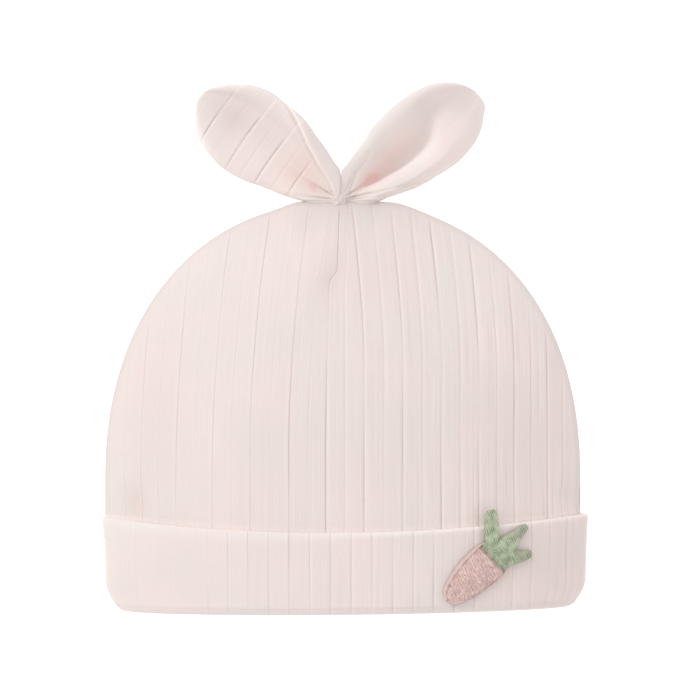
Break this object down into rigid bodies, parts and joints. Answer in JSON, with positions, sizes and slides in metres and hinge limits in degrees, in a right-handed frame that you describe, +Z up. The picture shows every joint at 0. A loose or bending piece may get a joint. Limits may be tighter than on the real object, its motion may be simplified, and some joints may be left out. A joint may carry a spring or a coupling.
{
  "type": "baby hat with ears",
  "caption": "Soft ribbed baby hat with a domed crown, a turned-up cuff, rabbit ears tacked on top and a small padded carrot on the cuff.",
  "frame": {"origin": "on the flat of the back panel where the hat lies, on its middle line and 85 mm above the hem", "axes": "+X across the hat to the carrot's side, +Y from the hem to the ears, +Z up from the surface that the hat lies on, out of the front panel"},
  "size_m": [0.1796, 0.1951, 0.0395],
  "materials": {
    "rib_cloth": "matt ribbed cotton jersey, pale pink",
    "plain_cloth": "matt smooth cotton jersey, pale pink",
    "carrot_yarn": "matt wound yarn, dusty pink",
    "leaf_yarn": "soft wound yarn, sage green"
  },
  "bodies": {
    "root": {"crown": "rib_cloth", "cuff": "rib_cloth", "ear_left": "rib_cloth", "ear_right": "plain_cloth", "carrot_root": "carrot_yarn", "carrot_leaves": "leaf_yarn"}
  },
  "joints": []
}
